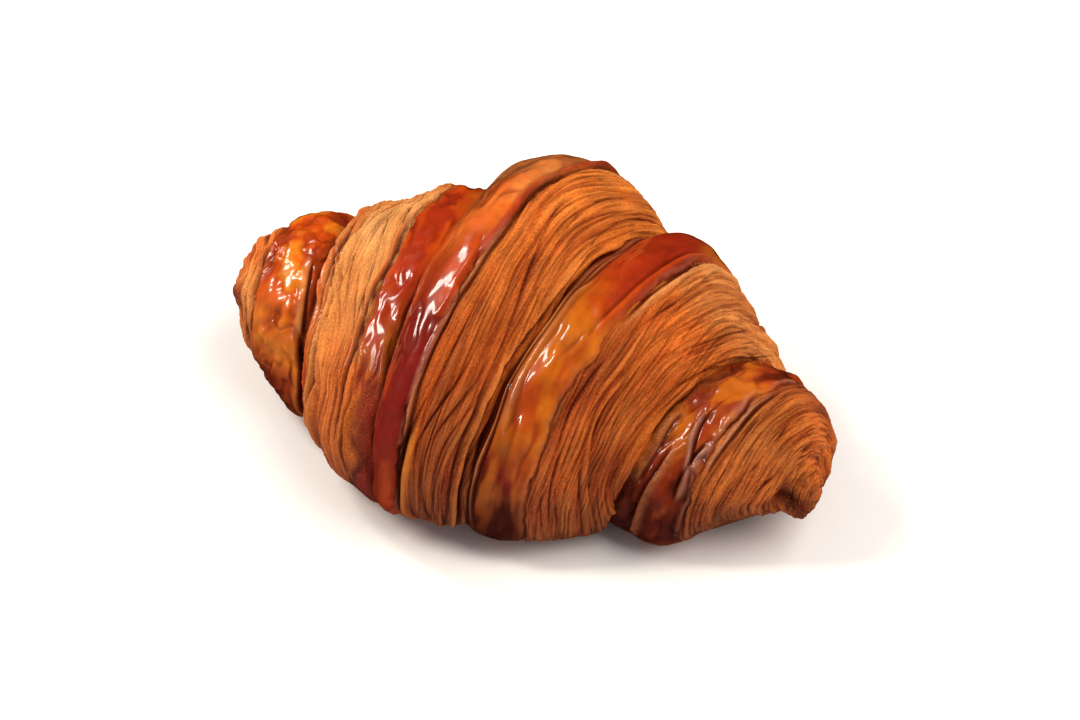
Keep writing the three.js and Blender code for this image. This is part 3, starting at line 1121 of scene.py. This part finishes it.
@dataclass(frozen=True)
class BakedCrust:
    """Egg-washed laminated crust, baked.

    Butter dough brushed with beaten egg and baked. Where the wash lay it set to a hard, clear
    gloss over browned skin, which the eye reads as amber lacquer. Where the layers were cut it
    stayed matt and crumbly, and shows as fine pale and dark grain.
    """

    name: str = "egg-washed laminated crust, baked"
    crumb_roughness: float = 0.66  # torn, floury layers
    skin_roughness: float = 0.34  # browned skin under the wash
    glaze_roughness: float = 0.09  # dried egg, nearly a varnish
    glaze_ior: float = 1.5  # dried protein
    crust_ior: float = 1.45  # starch and butter fat
    crust_specular: float = 0.25  # half the usual, because the crumb is full of holes
    grain_mm: float = 0.38  # crumbs on the cut faces, drawn coarser than the finest, 0.1 mm
    mottle_mm: float = 4.5  # patches where the wash pooled or ran thin
    fleck_mm: float = 2.2  # small scorched patches
    crack_shade: str = "4a1003"  # painted shade in the cracks, creases and grooves
    pale: str = "e08e3e"  # painted highlight on the tops of the layers
    flake: str = "f0a558"  # loose flakes
    scorch: str = "cba095"  # what a scorched fleck leaves of the colour under it
    thin_shade: float = 0.85  # of the colour where the wash ran thin
    pool_shade: float = 1.12  # and where it pooled
    crumb_dark: float = 0.52  # of the colour in the hollows of the grain
    crumb_light: float = 1.5  # and on its tops
    crest_highlight_share: float = 0.42  # strength of the painted highlight on the tops
    flake_share: float = 0.4
    fleck_share: float = 0.3
    # strength of the painted shade in the cracks
    crack_shade_share: float = 0.9
    thin_wet: float = 0.45  # share of the gloss where the wash ran thin
    smoother: float = -0.05  # change of roughness between the flecks
    rougher: float = 0.08  # and on them
    fleck_relief: float = 0.35  # height of a fleck against a crumb
    bump_mm: float = 0.3  # height of a crumb
    bump_strength: float = 0.8

    def material(self) -> bpy.types.Material:
        """Builds the material from the crust's own measures.

        Returns:
            The new material.
        """
        made = bpy.data.materials.new(self.name)
        made.use_nodes = True
        tree = made.node_tree
        where = add(tree, "ShaderNodeTexCoord", {}, {}, "Object")
        tone = add(tree, "ShaderNodeAttribute", {"attribute_name": "tone"}, {}, "Color")
        glaze, crack, crest = (
            add(tree, "ShaderNodeAttribute", {"attribute_name": name}, {}, "Fac")
            for name in ("glaze", "crack", "crest"))
        mottle, grain, fleck = (
            add(tree, "ShaderNodeTexNoise", {}, {"Vector": where, "Scale": 1 / (size * MM),
                                                 "Detail": detail, "Roughness": rough})
            for size, detail, rough in ((self.mottle_mm, 4, 0.55), (self.grain_mm, 3, 0.7),
                                        (self.fleck_mm, 2, 0.6)))
        # these noises keep mostly between 0.3 and 0.7, so that is where the maps below read them
        matt = add(tree, "ShaderNodeMath", {"operation": "SUBTRACT"}, {0: 1.0, 1: glaze})
        body = self.colour(tree, (tone, glaze, crack, crest), (mottle, grain, fleck), matt)

        rough = add(tree, "ShaderNodeMapRange", {},
                    {0: glaze, 3: self.crumb_roughness, 4: self.skin_roughness})
        uneven = add(tree, "ShaderNodeMapRange", {},
                     {0: fleck, 1: 0.3, 2: 0.7, 3: self.smoother, 4: self.rougher})
        rough = add(tree, "ShaderNodeMath", {"operation": "ADD"}, {0: rough, 1: uneven})
        wet = add(tree, "ShaderNodeMapRange", {},
                  {0: mottle, 1: 0.3, 2: 0.5, 3: self.thin_wet, 4: 1.0})
        wet = add(tree, "ShaderNodeMath", {"operation": "MULTIPLY"}, {0: glaze, 1: wet})

        relief = add(tree, "ShaderNodeMath", {"operation": "MULTIPLY"}, {0: grain, 1: matt})
        spots = add(tree, "ShaderNodeMath", {"operation": "MULTIPLY"},
                    {0: fleck, 1: self.fleck_relief})
        relief = add(tree, "ShaderNodeMath", {"operation": "ADD"}, {0: relief, 1: spots})
        normal = add(tree, "ShaderNodeBump", {}, {"Height": relief, "Distance": self.bump_mm * MM,
                                                  "Strength": self.bump_strength})
        shader = tree.nodes["Principled BSDF"]
        for name, value in {
            "Base Color": body, "Roughness": rough, "Normal": normal, "IOR": self.crust_ior,
            "Specular IOR Level": self.crust_specular, "Coat Weight": wet,
            "Coat Roughness": self.glaze_roughness, "Coat IOR": self.glaze_ior,
        }.items():
            plug(tree, value, shader.inputs[name])
        return made

    def colour(self, tree: bpy.types.NodeTree, measures: tuple[bpy.types.NodeSocket, ...],
               noises: tuple[bpy.types.NodeSocket, ...],
               matt: bpy.types.NodeSocket) -> bpy.types.NodeSocket:
        """Builds the crust's colour.

        Args:
            tree: the material's nodes.
            measures: the bake, the glaze, the cracks, which take painted shade, and the crests,
                which take a painted highlight.
            noises: the mottle, the grain and the flecks.
            matt: how far a place is from glossy.

        Returns:
            The colour's output.
        """
        tone, glaze, crack, crest = measures
        mottle, grain, fleck = noises
        # patches: darker where the wash ran thin, lighter where it pooled
        shade = add(tree, "ShaderNodeMapRange", {},
                    {0: mottle, 1: 0.35, 2: 0.65, 3: self.thin_shade, 4: self.pool_shade})
        body = add(tree, "ShaderNodeMix", MULTIPLY, {0: 1.0, 6: tone, 7: shade}, MIXED_COLOUR)
        # crumbs: fine light and dark grain on the cut faces only
        crumb = add(tree, "ShaderNodeMapRange", {},
                    {0: grain, 1: 0.3, 2: 0.7, 3: self.crumb_dark, 4: self.crumb_light})
        grainy = add(tree, "ShaderNodeMix", MULTIPLY, {0: 1.0, 6: body, 7: crumb}, MIXED_COLOUR)
        body = add(tree, "ShaderNodeMix", BLEND, {0: matt, 6: body, 7: grainy}, MIXED_COLOUR)
        # painted highlight: the tops of the layers are drawn paler
        share = add(tree, "ShaderNodeMath", {"operation": "MULTIPLY"},
                    {0: matt, 1: self.crest_highlight_share})
        share = add(tree, "ShaderNodeMath", {"operation": "MULTIPLY"}, {0: crest, 1: share})
        body = add(tree, "ShaderNodeMix", BLEND,
                   {0: share, 6: body, 7: (*linear(self.pale), 1)}, MIXED_COLOUR)
        # loose flakes: pale specks on the cut faces
        share = add(tree, "ShaderNodeMapRange", {},
                    {0: grain, 1: 0.61, 2: 0.72, 3: 0.0, 4: self.flake_share})
        share = add(tree, "ShaderNodeMath", {"operation": "MULTIPLY"}, {0: share, 1: matt})
        body = add(tree, "ShaderNodeMix", BLEND,
                   {0: share, 6: body, 7: (*linear(self.flake), 1)}, MIXED_COLOUR)
        # scorched flecks on the skins
        share = add(tree, "ShaderNodeMapRange", {},
                    {0: fleck, 1: 0.55, 2: 0.75, 3: 0.0, 4: self.fleck_share})
        share = add(tree, "ShaderNodeMath", {"operation": "MULTIPLY"}, {0: share, 1: glaze})
        brown = add(tree, "ShaderNodeMix", MULTIPLY,
                    {0: 1.0, 6: body, 7: (*linear(self.scorch), 1)}, MIXED_COLOUR)
        body = add(tree, "ShaderNodeMix", BLEND, {0: share, 6: body, 7: brown}, MIXED_COLOUR)
        # painted shade: cracks, creases and grooves are drawn darkest
        share = add(tree, "ShaderNodeMapRange", {}, {0: crack, 3: 0.0, 4: self.crack_shade_share})
        return add(tree, "ShaderNodeMix", BLEND,
                   {0: share, 6: body, 7: (*linear(self.crack_shade), 1)}, MIXED_COLOUR)


@dataclass
class Loaf:
    """The whole croissant, one closed crust."""

    rows: int = 1060  # about 0.2 mm apart, to carry the edges of single sheets
    columns: int = 550  # up to 0.5 mm apart, as the strands run this way
    quick_share: float = 0.6  # of the grid, while trying things out
    lump: float = 0.7  # how far the body swells and sinks in lumps
    lump_size: float = 24.0
    lump_seed: int = 5
    lump_heights: tuple[float, float] = (2.0, 10.0)  # mm between which the lumps begin
    rise_heights: tuple[float, float] = (1.0, 16.0)  # mm between which the relief grows
    low_rise: float = 0.2  # share of the relief below them, pressed flat by the tray
    tip_fades: tuple[float, float] = (12.0, 6.0)  # mm over which it dies out, left and right
    dry_foot: tuple[float, float] = (-0.8, 0.1)  # shares of the way up that the brush missed
    foot_height: float = 34.0  # height below which the crust darkens towards the tray, browned and with painted shade
    foot_browning_and_shade: tuple[float, float, float] = (0.44, 0.72, 0.86)  # red, green, blue lost there
    finish: BakedCrust = field(default_factory=BakedCrust)

    def build(self, low: Array, high: Array) -> bpy.types.Object:
        """Builds the crust in the place of its solid.

        Args:
            low: lowest corner of the solid in metres.
            high: highest corner of the solid in metres.

        Returns:
            The dressed object.
        """
        share = 1
        form = Form(round(self.rows * share), round(self.columns * share))
        relief = Relief(form)
        for layer in (*skins_and_faces(), *seams_and_grooves(), *sheets_and_blisters(),
                      *tips_and_base()):
            layer.apply(relief)
        above = form.place[..., 2]
        # browner towards the tray, with painted shade over the lower flanks
        foot = 1 - smooth(0, self.foot_height, above)[..., None]
        relief.colour *= 1 - foot * np.array(self.foot_browning_and_shade)
        relief.glaze *= smooth(*self.dry_foot, np.cos(np.radians(form.angle)))[None, :]

        lumps = self.lump * Noise(self.lump_seed).rough(form.place, self.lump_size, 2)
        lumps = lumps * smooth(*self.lump_heights, above)
        rise = self.low_rise + (1 - self.low_rise) * smooth(*self.rise_heights, above)
        left, right = self.tip_fades
        ends = smooth(0, left, form.length)
        ends = ends * smooth(0, right, form.length[-1:] - form.length)
        height = (relief.height * rise + lumps) * ends
        place = form.place + form.normal * height[..., None]
        place[..., 2] = np.maximum(place[..., 2], 0)

        calm = form.surface(form.row, form.angle, False)
        middle = (calm.min(axis=(0, 1)) + calm.max(axis=(0, 1))) / 2
        centre = (np.asarray(low) + np.asarray(high)) / 2 / MM
        place[..., 0] += centre[0] - middle[0]
        place[..., 1] += centre[1] - middle[1]
        return self.dress(place * MM, relief)

    @staticmethod
    def gather(values: Array) -> Array:
        """Puts the values of a grid in the order of the mesh's points.

        Args:
            values: one or more numbers for each row and column.

        Returns:
            The rows between the tips, one after another, then a mean for each tip.
        """
        rows, columns = values.shape[:2]
        body = values[1:-1].reshape((rows - 2) * columns, -1)
        return np.concatenate([body, values[[0, -1]].reshape(2, columns, -1).mean(axis=1)])

    @staticmethod
    def faces(rows: int, columns: int) -> tuple[Array, Array]:
        """Joins the points of a grid into one closed skin.

        Args:
            rows: of the grid, its first and last drawn together at the two tips.
            columns: of the grid.

        Returns:
            The corners of all faces in turn, and how many each face has.
        """
        count = rows - 2
        ring = np.arange(count * columns).reshape(count, columns)
        beside = np.roll(ring, -1, axis=1)
        quads = np.stack([ring[:-1], ring[1:], beside[1:], beside[:-1]], -1).reshape(-1, 4)
        first, last = count * columns, count * columns + 1
        starts = np.stack([np.full(columns, first), ring[0], beside[0]], -1)
        ends = np.stack([np.full(columns, last), beside[-1], ring[-1]], -1)
        corners = np.concatenate([quads.ravel(), starts.ravel(), ends.ravel()]).astype(np.int32)
        return corners, np.concatenate([np.full(len(quads), 4), np.full(2 * columns, 3)])

    @staticmethod
    def bake_map(corners: Array, sizes: Array, rows: int, columns: int) -> Array:
        """Unrolls the crust flat for the bake: along the loaf and round it.

        Args:
            corners: the corners of all faces in turn.
            sizes: how many corners each face has.
            rows: of the grid.
            columns: of the grid.

        Returns:
            A place on the flat map for each corner.
        """
        along = np.arange(1, rows - 1) / (rows - 1)
        u = np.concatenate([np.repeat(along, columns), [0, 1]])[corners]
        v = np.concatenate([np.tile(np.arange(columns), rows - 2), [0, 0]])[corners].astype(float)
        face = np.repeat(np.arange(len(sizes)), sizes)
        highest = np.zeros(len(sizes))
        np.maximum.at(highest, face, v)
        v[(highest[face] == columns - 1) & (v == 0)] = columns  # the last column meets the first
        at_tip = corners >= (rows - 2) * columns
        v[at_tip] = highest[face][at_tip]
        margin = 0.002  # keeps the crust clear of the map's border
        return np.stack([u, v / columns], -1) * (1 - 2 * margin) + margin

    def dress(self, place: Array, relief: Relief) -> bpy.types.Object:
        """Makes the mesh with its measures and its bake map.

        Args:
            place: the grid in metres, its first and last rows drawn to the two tips.
            relief: the measures that colour it.

        Returns:
            The new object, wearing its finish.
        """
        rows, columns = place.shape[:2]
        points = self.gather(place)
        corners, sizes = self.faces(rows, columns)
        mesh = bpy.data.meshes.new(NODE)
        mesh.vertices.add(len(points))
        mesh.vertices.foreach_set("co", points.astype(np.float32).ravel())
        mesh.loops.add(len(corners))
        mesh.loops.foreach_set("vertex_index", corners)
        mesh.polygons.add(len(sizes))
        starts = np.concatenate([[0], np.cumsum(sizes)[:-1]]).astype(np.int32)
        mesh.polygons.foreach_set("loop_start", starts)
        mesh.update(calc_edges=True)
        mesh.polygons.foreach_set("use_smooth", np.ones(len(sizes), bool))

        flat = self.bake_map(corners, sizes, rows, columns).astype(np.float32)
        mesh.uv_layers.new(name="OFBake").uv.foreach_set("vector", flat.ravel())
        for name in ("glaze", "crack", "crest"):
            values = np.clip(self.gather(getattr(relief, name)), 0, 1).astype(np.float32)
            mesh.attributes.new(name, "FLOAT", "POINT").data.foreach_set("value", values.ravel())
        tone = np.clip(self.gather(relief.colour), 0, 1)
        tone = np.concatenate([tone, np.ones((len(tone), 1))], axis=1).astype(np.float32)
        mesh.attributes.new("tone", "FLOAT_COLOR", "POINT").data.foreach_set("color", tone.ravel())
        mesh.validate()
        mesh.materials.append(self.finish.material())
        loaf = bpy.data.objects.new("croissant_crust", mesh)
        bpy.context.scene.collection.objects.link(loaf)
        return loaf


@dataclass(frozen=True)
class PaintedBoard:
    """Painted board, sprayed matt.

    Chalky paint in an even coat, which gives the eye a pale ground with no gloss of its own.
    """

    name: str = "painted board, matt white"
    colour: str = "f1efec"
    roughness: float = 0.85  # chalky paint

    def material(self) -> bpy.types.Material:
        """Builds the material.

        Returns:
            The new material.
        """
        made = bpy.data.materials.new(self.name)
        made.use_nodes = True
        shader = made.node_tree.nodes["Principled BSDF"]
        plug(made.node_tree, (*linear(self.colour), 1), shader.inputs["Base Color"])
        plug(made.node_tree, self.roughness, shader.inputs["Roughness"])
        return made


@dataclass(frozen=True)
class PaleTable:
    """The plain table that the loaf stands on."""

    size: float = 6.0  # metres, wide enough to fill the view
    finish: PaintedBoard = PaintedBoard()

    def build(self) -> bpy.types.Object:
        """Lays the table under the loaf.

        Returns:
            The table.
        """
        mesh = bpy.data.meshes.new("table")
        h = self.size / 2
        mesh.from_pydata([(-h, -h, 0), (h, -h, 0), (h, h, 0), (-h, h, 0)], [], [(0, 1, 2, 3)])
        mesh.materials.append(self.finish.material())
        table = bpy.data.objects.new("table", mesh)
        table.visible_glossy = False  # the glaze would mirror so pale a ground
        bpy.context.scene.collection.objects.link(table)
        return table


def hang(thing: bpy.types.Object, target: Vector, azimuth: float, elevation: float,
         distance: float) -> None:
    """Puts a camera or a lamp round the loaf, aimed at it.

    Args:
        thing: the camera or lamp.
        target: the point it is aimed at.
        azimuth: degrees to the right of the front.
        elevation: degrees above the table.
        distance: metres from the target.
    """
    a, e = math.radians(azimuth), math.radians(elevation)
    towards = Vector((math.sin(a) * math.cos(e), -math.cos(a) * math.cos(e), math.sin(e)))
    thing.location = target + towards * distance
    thing.rotation_euler = towards.to_track_quat("Z", "Y").to_euler()
    bpy.context.scene.collection.objects.link(thing)


@dataclass(frozen=True)
class SoftBox:
    """A lamp behind a sheet of white cloth."""

    name: str
    azimuth: float  # degrees to the right of the front
    elevation: float
    distance: float
    size: tuple[float, float]  # metres across and tall
    watts: float
    colour: str
    mirrored: bool  # whether the glaze shows it

    def build(self, target: Vector) -> None:
        """Hangs the box.

        Args:
            target: the point it is aimed at.
        """
        data = bpy.data.lights.new(self.name, "AREA")
        data.shape = "RECTANGLE"
        data.size, data.size_y = self.size
        data.energy = self.watts
        data.color = linear(self.colour)
        box = bpy.data.objects.new(self.name, data)
        box.visible_glossy = self.mirrored
        hang(box, target, self.azimuth, self.elevation, self.distance)


@dataclass(frozen=True)
class Studio:
    """Soft window-like light from the left and a camera looking down at the loaf."""

    azimuth: float = 26.8  # degrees to the right of the front
    elevation: float = 43.0
    distance: float = 0.7
    lens: float = 103.5  # mm
    sensor: float = 36.0  # mm across
    nearest: float = 0.01  # metres from the camera at which it begins to see
    target: tuple[float, float, float] = (0.0045, -0.003, 0.025)
    sky: str = "e9eaee"
    sky_strength: float = 0.42
    boxes: tuple[SoftBox, ...] = (
        SoftBox("key", -60, 46, 0.8, (0.13, 0.36), 3.8, "fff6ea", True),
        SoftBox("window", -98, 42, 0.8, (0.16, 0.3), 2.6, "fffaf2", True),
        SoftBox("fill", 100, 52, 1.0, (0.9, 0.9), 12, "fff8f0", False),
    )

    def camera(self) -> None:
        """Sets the camera."""
        data = bpy.data.cameras.new("camera")
        data.lens = self.lens
        data.sensor_width = self.sensor
        data.clip_start = self.nearest
        eye = bpy.data.objects.new("camera", data)
        hang(eye, Vector(self.target), self.azimuth, self.elevation, self.distance)
        bpy.context.scene.camera = eye

    def light(self) -> None:
        """Sets the sky and the soft boxes."""
        world = bpy.data.worlds.new("sky")
        world.use_nodes = True
        sky = world.node_tree.nodes["Background"]
        plug(world.node_tree, (*linear(self.sky), 1), sky.inputs["Color"])
        plug(world.node_tree, self.sky_strength, sky.inputs["Strength"])
        world.cycles_visibility.glossy = False  # the glaze mirrors the boxes, not a bright room
        bpy.context.scene.world = world
        bpy.context.scene.view_settings.view_transform = "Standard"
        for box in self.boxes:
            box.build(Vector(self.target))


def main() -> None:
    """Builds the croissant, its table and its light, and reports each piece."""
    logging.basicConfig(level=logging.INFO, format="%(message)s")
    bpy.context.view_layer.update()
    studio = Studio()
    studio.camera()
    studio.light()
    PaleTable().build()
    LOG.info("table: laid under the loaf")
    low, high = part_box(NODE)
    loaf = Loaf().build(low, high)
    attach(loaf, "root")
    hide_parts(NODE)
    LOG.info("%s: %d faces", loaf.name, len(loaf.data.polygons))


if __name__ == "__main__":
    main()
